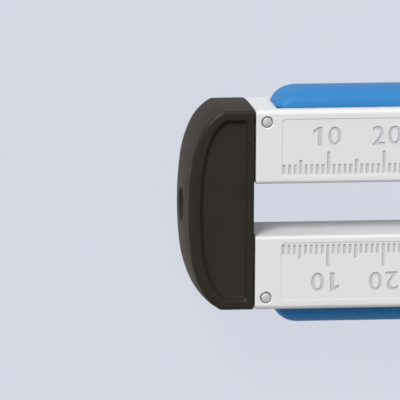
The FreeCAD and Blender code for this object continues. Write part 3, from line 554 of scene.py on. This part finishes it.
def makeShell():  # the upper half from the middle plane up to the field's floor, then mirrored
    piece = drawFrom("headShell", head["rear"], head["side"])
    drawBy(head["start"] - head["rear"], 0)
    for x, y, degrees, steps in head["arcs"]:
        drawArc(x, y, degrees, steps)
    drawBy(head["rear"] - head["start"], 0)
    bpy.ops.mesh.select_all(action="SELECT")
    bpy.ops.mesh.remove_doubles(threshold=tiny)
    bpy.ops.mesh.edge_face_add()
    settle(piece)
    if piece.data.polygons[0].normal.z < 0:
        editAll(piece)
        bpy.ops.mesh.flip_normals()
        settle(piece)

    top = {"z": 0.0, "rear": head["rear"]}

    def cap(f):
        high = abs(f.center.z / mm - top["z"]) < 0.001
        return f.normal.z > 0.99 and high and f.area > 100 * mm * mm

    def step(inset, rise, rear=head["rear"]):  # moves the cap in and up; its rear edge goes to rear
        pick(piece, "FACE", cap)
        bpy.ops.mesh.inset(thickness=inset * mm, depth=rise * mm, use_even_offset=True)
        bpy.ops.object.mode_set(mode="OBJECT")
        bpy.ops.object.mode_set(mode="EDIT")
        top["z"] += rise
        now = top["rear"] - inset
        if abs(rear - now) > 1e-6:
            inside = {number for f in piece.data.polygons if f.select for number in f.vertices}
            pick(piece, "VERT", lambda v: v.index in inside and abs(v.co.x / mm - now) < 0.02)
            shift(x=rear - now)
        top["rear"] = rear

    editAll(piece)
    for inset, rise in head["wall"]:
        step(inset, rise)
    for along, across in rounding(head["round"]):
        step(across, along)
    edge = head["rear"] - head["strip"]
    step(head["rim"], 0.0, edge)
    level = top["z"]
    pick(piece, "FACE", cap)
    squeeze = 1 - head["noseRim"] / head["faceDeep"]
    bpy.ops.transform.resize(value=(squeeze, 1, 1), center_override=(edge * mm, 0, level * mm))
    lip = rounding(head["rimRound"], 5, head["fieldSlope"])
    foot = rounding(head["floorRound"], 5, head["fieldSlope"])[::-1]
    for inset, drop in lip + [head["fieldWall"]] + foot:
        step(inset, -drop, top["rear"] - inset)
    settle(piece)

    def upright(a, b):
        return abs(a.z - b.z) > 1e-4

    def sideCorner(e):  # where the shoulders meet the flat sides
        a, b = ends(piece, e)
        near = max(abs(a.x - head["start"]), abs(b.x - head["start"])) < 0.8
        return min(abs(a.y), abs(b.y)) > 16.6 and near and upright(a, b)

    def fieldCorner(e):
        a, b = ends(piece, e)
        within = 4.3 < min(a.x, b.x) and max(a.x, b.x) < 5.54 and min(a.z, b.z) > 6.9
        return min(abs(a.y), abs(b.y)) > 15.0 and within and upright(a, b)

    def rearEdge(e):
        a, b = ends(piece, e)
        high = min(a.z, b.z) > level - 0.01
        return min(a.x, b.x) > head["rear"] - 0.02 and high and abs(a.y - b.y) > 1

    editAll(piece)
    for test, width, segments in (
        (sideCorner, head["sideCorner"], 4),
        (fieldCorner, head["fieldCorner"], 4),
        (rearEdge, head["rearEdge"], 3),
    ):
        pick(piece, "EDGE", test)
        bpy.ops.mesh.bevel(offset=width * mm, segments=segments, affect="EDGES", clamp_overlap=False)
    pick(piece, "VERT", lambda v: v.co.z / mm > level)
    bpy.ops.transform.resize(value=(1, 1, 0), center_override=(0, 0, level * mm))  # eased corners stay level
    settle(piece)
    modify(piece, "MIRROR", use_axis=(False, False, True), merge_threshold=tiny)
    heal(piece)
    print("head shell", len(piece.data.polygons))
    return piece


def openRoom(piece):  # room for the tongues, open to the rear, and the bore through its boss
    room = addBox(head["room"]["middle"], head["room"]["size"])

    def frontEdge(e):
        a, b = ends(room, e)
        return a.x < 0 and b.x < 0 and abs(a.z - b.z) > 1

    pick(room, "EDGE", frontEdge)
    bpy.ops.mesh.bevel(offset=head["room"]["round"] * mm, segments=6, affect="EDGES")
    settle(room)
    combine(piece, room)
    boss = lathe("boss", head["boss"], 40)
    turnMesh(boss, 90, "Y")
    combine(piece, boss, "UNION")
    bore = lathe("bore", head["bore"], 48)
    turnMesh(bore, 90, "Y")
    combine(piece, bore)


def addLugs(piece):  # each forked lug takes one arm's dowel pin
    size, fork = head["lug"], head["fork"]
    reach = fork["open"] - fork["end"]
    for side in (1, -1):
        lug = addBox((size["x"], side * size["y"], 0), size["size"])
        pick(lug, "EDGE", lambda e: all(point.x > 10 for point in ends(lug, e)))
        bpy.ops.mesh.bevel(offset=size["round"] * mm, segments=3, affect="EDGES")
        settle(lug)
        slot = drawFrom("slot", fork["x"] - fork["radius"], side * fork["open"], -fork["half"])
        drawBy(0, -side * reach)
        middle = (fork["x"] * mm, side * fork["end"] * mm, -fork["half"] * mm)
        bpy.ops.mesh.spin(steps=16, angle=side * -math.pi, center=middle, axis=(0, 0, 1))
        drawBy(0, side * reach)
        bpy.ops.mesh.select_all(action="SELECT")
        fillUp(2 * fork["half"])
        heal(slot)
        combine(lug, slot)
        combine(piece, lug, "UNION")


def makeHead():
    piece = makeShell()
    openRoom(piece)
    addLugs(piece)
    paint(piece, nylon)
    smooth(piece, 32, weighted=True)
    standFor(piece, "guide_head", "guide_head")


makeHead()
print("head made")

grip = {
    "start": 10.6,
    "end": 95.6,
    "base": 18.0,
    "sink": 0.8,
    "rise": 3.2,
    "half": 5.7,
    "nose": 4.5,
    "cornerX": 1.6,
    "cornerZ": 3.6,
    "power": 2.8,  # 2 is a plain ellipse across, more is squarer
    "taperX": 58.6,
    "taperRadius": 253.97,
    "across": 26,
    "along": (14, 6, 10),  # steps in each end, in the straight part and in the taper
}


def armSide(x):  # the arm's outer line
    if x <= grip["taperX"]:
        return grip["base"]
    reach = grip["taperRadius"]
    return grip["base"] - reach + math.sqrt(reach ** 2 - (x - grip["taperX"]) ** 2)


def gripStations():  # x, rise and half width from nose to tail
    nose = grip["nose"]
    tips, straight, taper = grip["along"]
    sweep = math.acos(1 - grip["rise"] / nose)
    run = [(math.sin(sweep) - math.sin(sweep * (1 - part / tips))) * nose for part in range(tips + 1)]
    places = [grip["start"] + step for step in run]
    front = places[-1]
    places += [front + (grip["taperX"] - front) * part / straight for part in range(1, straight + 1)]
    tail = grip["end"] - run[-1]
    places += [grip["taperX"] + (tail - grip["taperX"]) * part / taper for part in range(1, taper + 1)]
    places += [grip["end"] - step for step in reversed(run[:-1])]
    stations = []
    for x in places:
        near = min(x - grip["start"], grip["end"] - x)
        rise = grip["rise"]
        if near < run[-1]:
            angle = math.asin(max(0.0, math.sin(sweep) - near / nose))
            rise = max(0.04, nose * math.cos(angle) - nose + grip["rise"])
        half = grip["half"]
        if near < grip["cornerX"]:
            half -= grip["cornerZ"] * (1 - math.sqrt(1 - (1 - near / grip["cornerX"]) ** 2))
        stations.append((x, rise, half))
    return stations


def gripArch(rise, half):  # the line across the grip's front end, as z and height above the arm
    power = 2 / grip["power"]
    arch = []
    for part in range(grip["across"] + 1):
        angle = math.pi * part / grip["across"]
        across, up = math.cos(angle), math.sin(angle)
        arch.append((-math.copysign(abs(across) ** power, across) * half, max(0.0, up) ** power * rise))
    return arch


def makeGrips():
    stations = gripStations()
    x, rise, half = stations[0]
    arch = gripArch(rise, half)
    piece = drawFrom("gripUpper", x, grip["base"] + arch[0][1], arch[0][0])
    for last, point in zip(arch, arch[1:]):
        drawBy(0, point[1] - last[1], point[0] - last[0])
    bpy.ops.mesh.select_all(action="SELECT")
    for last, station in zip(stations, stations[1:]):
        drawBy(station[0] - last[0], armSide(station[0]) - armSide(last[0]))
        bpy.ops.transform.resize(
            value=(1, station[1] / last[1], station[2] / last[2]),
            center_override=(station[0] * mm, armSide(station[0]) * mm, 0),
        )
    settle(piece)
    editAll(piece)  # the foot goes down into the arm's channel
    bpy.ops.mesh.select_mode(type="EDGE")
    bpy.ops.mesh.select_all(action="SELECT")
    bpy.ops.mesh.region_to_loop()
    drawBy(0, -grip["sink"])
    bpy.ops.mesh.edge_face_add()
    heal(piece)
    paint(piece, elastomer)
    lower = twin(piece, "gripLower", mirrorY=True)
    for made, side in ((piece, "upper"), (lower, "lower")):
        smooth(made, 50)
        standFor(made, side + "_grip", side + "_arm")


makeGrips()
print("grips made")

scale = {
    "zero": 9.7,
    "first": 2,
    "last": 50,
    "edge": 6.3,  # mm from the centre line to the ticks' inner ends
    "short": 1.9,
    "medium": 2.72,
    "long": 4.2,
    "width": 0.62,
    "draft": (0.78, 0.2),  # a tick's bottom: share of its width, and mm that it is shorter
    "tickRound": 0.1,
    "depth": 0.2,
    "face": 7.88,
    "cutter": 0.4,  # height of what cuts the marks
    "digits": 13.18,
    "tall": 3.43,
    "widths": {"1": 1.6, "2": 2.25, "3": 2.25, "4": 2.4, "5": 2.25, "0": 2.3},
    "between": {"1": 1.1},  # gap after a digit, where it isn't the usual one
    "usual": 0.63,
    "bold": 0.06,
    "bolder": {"4": 0.0},  # its narrow corner folds over when the strokes are thickened
    "one": [(0.8, 0), (0, 3.43), (-0.62, 0), (-0.98, -0.55), (0, -0.72), (0.8, 0.4), (0, -2.56)],
    "shift": {  # how far a number is off its tick
        "lower": {10: 0.47, 20: -0.1},
        "upper": {10: -0.28, 20: 0.45},
    },
}


def tickModel(name, length):
    low = scale["face"] - scale["depth"]
    middle = scale["edge"] + length / 2
    piece = addBox((0, middle, low + scale["cutter"] / 2), (scale["width"], length, scale["cutter"]))
    piece.name = name
    narrower, shorter = scale["draft"]
    pick(piece, "FACE", lambda f: f.normal.z < -0.9)
    size = (narrower, 1 - shorter / length, 1)
    bpy.ops.transform.resize(value=size, center_override=(0, middle * mm, low * mm))
    pick(piece, "EDGE", lambda e: abs(ends(piece, e)[0].z - ends(piece, e)[1].z) > 0.2)
    bpy.ops.mesh.bevel(offset=scale["tickRound"] * mm, segments=2, affect="EDGES")
    settle(piece)
    return piece


def figureOne():  # drawn, with a flag
    piece = drawFrom("figure1", 0, 0)
    for x, y in scale["one"]:
        drawBy(x, y)
    bpy.ops.mesh.select_all(action="SELECT")
    bpy.ops.mesh.remove_doubles(threshold=tiny)
    fillUp(scale["cutter"])
    heal(piece)
    return piece


def figureFromText(letter):
    clearAll()
    bpy.ops.object.text_add()
    piece = bpy.context.object
    piece.data.body = letter
    piece.data.size = 5.0 * mm
    piece.data.extrude = scale["cutter"] / 2 * mm
    piece.data.offset = scale["bolder"].get(letter, scale["bold"]) * mm
    piece.data.resolution_u = 6
    only(piece)
    bpy.ops.object.convert(target="MESH")
    piece = bpy.context.object
    piece.name = "figure" + letter
    return piece


def figureModel(letter):  # one figure, centred on its own middle
    piece = figureOne() if letter == "1" else figureFromText(letter)
    places = [v.co / mm for v in piece.data.vertices]
    low = [min(place[axis] for place in places) for axis in range(3)]
    high = [max(place[axis] for place in places) for axis in range(3)]
    editAll(piece)
    bpy.ops.mesh.remove_doubles(threshold=tiny / 2)
    bpy.ops.mesh.dissolve_limited(angle_limit=math.radians(0.5))  # no needless points on straight strokes
    shift(-(low[0] + high[0]) / 2, -(low[1] + high[1]) / 2, -low[2])
    size = (scale["widths"][letter] / (high[0] - low[0]), scale["tall"] / (high[1] - low[1]), 1)
    bpy.ops.transform.resize(value=size, center_override=(0, 0, 0))
    bpy.ops.mesh.normals_make_consistent(inside=False)
    settle(piece)
    return piece


def makeMarks(name, arm):  # the marks of one arm's upper face, as one cutter
    turn, angle = (-1, math.pi) if arm == "lower" else (1, 0.0)  # the lower arm's marks are turned round
    ticks = {key: tickModel(key, scale[key]) for key in ("short", "medium", "long")}
    marks = []
    for count in range(scale["first"], scale["last"] + 1):
        key = "long" if count % 10 == 0 else "medium" if count % 5 == 0 else "short"
        mark = twin(ticks[key], f"tick{count}")
        mark.location.x = (scale["zero"] + count) * mm
        mark.rotation_euler.z = angle
        marks.append(mark)
    figures = {letter: figureModel(letter) for letter in scale["widths"]}
    low = (scale["face"] - scale["depth"]) * mm
    for count in range(10, scale["last"] + 1, 10):
        text = str(count)
        wide = [scale["widths"][letter] for letter in text]
        space = scale["between"].get(text[0], scale["usual"])
        left = scale["shift"][arm].get(count, 0.0) - (sum(wide) + space) / 2
        for letter, place in zip(text, (left + wide[0] / 2, left + wide[0] + space + wide[1] / 2)):
            figure = twin(figures[letter], f"figure{count}")
            figure.location = ((scale["zero"] + count + turn * place) * mm, turn * scale["digits"] * mm, low)
            figure.rotation_euler.z = angle
            marks.append(figure)
    for model in [*figures.values(), *ticks.values()]:
        bpy.data.objects.remove(model)
    only(*marks)
    bpy.ops.object.transform_apply(location=True, rotation=True, scale=True)
    bpy.ops.object.join()
    joined = bpy.context.object
    joined.name = name
    return joined


def makeArms():  # the solids' arms with the marks cut into both faces
    upperTop = makeMarks("marksUpper", "upper")
    lowerTop = makeMarks("marksLower", "lower")
    lowerBottom = twin(upperTop, "marksLowerBottom")
    upperBottom = twin(lowerTop, "marksUpperBottom")
    for turned in (lowerBottom, upperBottom):
        turned.rotation_euler.x = math.pi
        settle(turned)
    for side, cutters in (("upper", (upperTop, upperBottom)), ("lower", (lowerTop, lowerBottom))):
        node = side + "_arm"
        piece = bpy.data.objects.new(side + "Arm", nodes[node].data.copy())
        bpy.context.collection.objects.link(piece)
        editAll(piece)
        bpy.ops.mesh.customdata_custom_splitnormals_clear()
        bpy.ops.mesh.remove_doubles(threshold=tiny)
        bpy.ops.mesh.dissolve_limited(angle_limit=math.radians(0.5))
        settle(piece)
        paint(piece, plainAbs, paintedShadeMarkAbs)
        for cutter in cutters:
            paint(cutter, plainAbs, paintedShadeMarkAbs)
            for face in cutter.data.polygons:
                # the marks' floors take the darker grey, painted shade; their walls stay plain
                face.material_index = 1 if abs(face.normal.z) > 0.9 else 0
            combine(piece, cutter, material_mode="TRANSFER")
        smooth(piece, 30, weighted=True)
        standFor(piece, node, node)
        print(node, len(piece.data.polygons), "faces")


makeArms()
print("arms made")

dowel = {
    "x": 8.6,
    "y": 15.85,
    "top": 7.9,
    "end": [(0.0, 0.0), (0.76, 0.0), (0.81, 0.02), (0.84, 0.07), (0.85, 0.9), (0.98, 1.0)],  # radius, depth
}
hinge = {
    "x": 112.6,
    "radius": 2.0,
    "head": 3.6,
    "top": 7.8,
    "thick": 0.9,
    "dimple": [(0.0, 0.35), (0.25, 0.2), (0.5, 0.05), (0.62, 0.0)],  # radius, depth: the turned centre
    "crown": [(3.0, 0.0), (3.2, 0.03), (3.42, 0.12), (3.55, 0.25)],
    "rim": 0.42,  # how far down the crown ends, at the head's full radius
    "groove": (-6.4, -7.0),
    "inner": 1.65,
    "end": -7.8,
}
spring = {
    "x": 76.6,
    "mean": 2.65,
    "wire": 0.35,
    "low": -8.5,
    "high": 8.5,
    "turns": 5,
    "closed": 0.72,
    "around": 14,
    "perTurn": 36,
    "anchor": (0.0766, -0.0089, 0),  # in metres, where it stands in its lower cup
    "shortest": 0.956,
}


def makeDowels():
    half = [(radius, dowel["top"] - depth) for radius, depth in dowel["end"]]
    profile = half + [(radius, -height) for radius, height in reversed(half)]
    for side, sign in (("upper", 1), ("lower", -1)):
        piece = lathe(side + "Dowel", profile, 40)
        moveMesh(piece, dowel["x"], sign * dowel["y"])
        paint(piece, dowelSteel)
        smooth(piece, 40, weighted=True)
        standFor(piece, side + "_dowel_pin", side + "_arm")


def makeHingePin():
    top, neck = hinge["top"], hinge["top"] - hinge["thick"]
    wide, shaft, inner, end = hinge["head"], hinge["radius"], hinge["inner"], hinge["end"]
    grooveTop, grooveLow = hinge["groove"]
    profile = [(radius, top - depth) for radius, depth in hinge["dimple"] + hinge["crown"]]
    profile += [(wide, top - hinge["rim"]), (wide, neck + 0.1), (wide - 0.1, neck), (shaft, neck)]
    profile += [(shaft, grooveTop), (inner, grooveTop), (inner, grooveLow), (shaft, grooveLow)]
    profile += [(shaft, end + 0.3), (shaft - 0.1, end + 0.1), (shaft - 0.3, end), (0.0, end)]
    piece = lathe("hingePin", profile, 56)
    moveMesh(piece, hinge["x"])
    paint(piece, pinSteel)
    smooth(piece, 35)
    standFor(piece, "hinge_pin", "lower_arm")


def makeSpring():  # three coils in a row: a closed turn at each end, open turns between
    closed, between = spring["closed"], spring["turns"]
    middle = spring["high"] - spring["low"] - 2 * closed
    coils = []
    start = spring["low"]
    for rise, turns in ((closed, 1), (middle / between, between), (closed, 1)):
        clearAll()
        bpy.ops.mesh.primitive_circle_add(
            vertices=spring["around"],
            radius=spring["wire"] * mm,
            location=(spring["mean"] * mm, 0, start * mm),
            rotation=(math.pi / 2, 0, 0),
        )
        coil = bpy.context.object
        settle(coil)
        modify(
            coil, "SCREW", axis="Z", angle=math.tau, screw_offset=rise * mm, iterations=turns,
            steps=spring["perTurn"], render_steps=spring["perTurn"], use_smooth_shade=True,
        )
        coils.append(coil)
        start += rise * turns
    only(*coils)
    bpy.ops.object.join()
    piece = bpy.context.object
    piece.name = "springCoil"
    editAll(piece)
    bpy.ops.mesh.remove_doubles(threshold=0.02 * mm)
    bpy.ops.mesh.select_mode(type="EDGE")
    bpy.ops.mesh.select_all(action="DESELECT")
    bpy.ops.mesh.select_non_manifold()
    bpy.ops.mesh.fill()
    heal(piece)
    turnMesh(piece, 90, "X")
    moveMesh(piece, spring["x"])
    paint(piece, wireSteel)
    smooth(piece, 50)
    standFor(piece, "return_spring", "lower_arm")
    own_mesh(piece)


makeDowels()
makeHingePin()
makeSpring()
print("pins and spring made")

finishes = {
    "guide_bush": bushSteel,
    "hinge_bush": brass,
    "hinge_washers": washerSteel,
    "hinge_clip": clipSteel,
}
for side in ("upper", "lower"):
    finishes[side + "_blade"] = bladeSteel
    finishes[side + "_blade_clamp"] = clampSteel
    finishes[side + "_clamp_screws"] = screwSteel
    finishes[side + "_screw_inserts"] = brass
    finishes[side + "_spring_cup"] = cupSteel
for name, material in finishes.items():
    for place in nodes[name].material_slots:
        place.material = material
print("finishes given")
